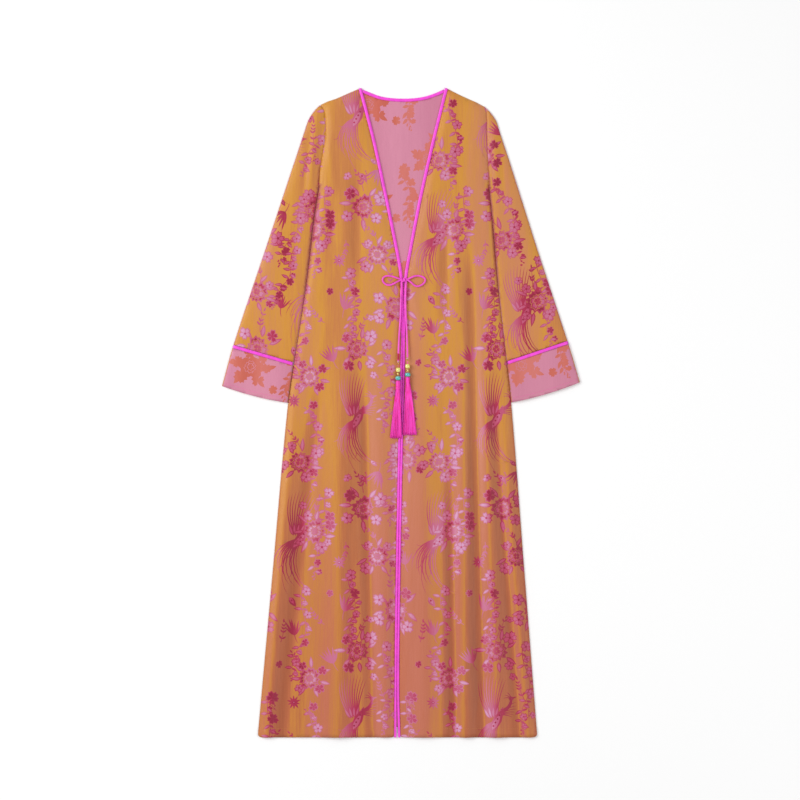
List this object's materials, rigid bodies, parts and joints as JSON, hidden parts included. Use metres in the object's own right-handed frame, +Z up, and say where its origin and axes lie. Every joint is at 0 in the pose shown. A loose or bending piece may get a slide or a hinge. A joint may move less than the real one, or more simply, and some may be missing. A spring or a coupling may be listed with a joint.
{
  "type": "abaya",
  "caption": "Long open-front abaya in shot floral brocade, laid flat on its back, with piped wide cuffs, bound edges and a tied bow with tassels.",
  "frame": {"origin": "on the surface that the garment lies on, in the middle of its laid-out outline", "axes": "+Y runs to the neck, +X to the wearer's left, +Z up from the surface"},
  "size_m": [0.7715, 1.4003, 0.0167],
  "materials": {
    "brocade": "shot silk-look jacquard, ochre ground that turns pink, with lilac and crimson flowers",
    "brocade_reverse": "the same cloth wrong side out, dusty pink ground with coral flowers",
    "satin": "smooth magenta satin binding, piping and cord",
    "tassel_thread": "silky magenta thread",
    "yellow_bead": "polished opaque yellow-green bead",
    "turquoise_bead": "polished opaque turquoise bead",
    "metal_bead": "small pale brass bead",
    "pink_bead": "small pale pink clear bead"
  },
  "bodies": {
    "root": {"back": "brocade_reverse", "binding_neck": "satin", "front_right": "brocade", "sleeve_right": "brocade", "cuff_piping_right": "satin", "cuff_right": "brocade_reverse", "binding_front_right": "satin", "front_left": "brocade", "sleeve_left": "brocade", "cuff_piping_left": "satin", "cuff_left": "brocade_reverse", "binding_front_left": "satin", "bow_knot": "satin", "bow_loop_right": "satin", "tie_tail_right": "satin", "seed_bead_upper_right": "pink_bead", "seed_bead_lower_right": "metal_bead", "bead_yellow_right": "yellow_bead", "spacer_bead_right": "metal_bead", "bead_turquoise_right": "turquoise_bead", "tassel_right": "tassel_thread", "bow_loop_left": "satin", "tie_tail_left": "satin", "seed_bead_upper_left": "pink_bead", "seed_bead_lower_left": "metal_bead", "bead_yellow_left": "yellow_bead", "spacer_bead_left": "metal_bead", "bead_turquoise_left": "turquoise_bead", "tassel_left": "tassel_thread"}
  },
  "joints": []
}
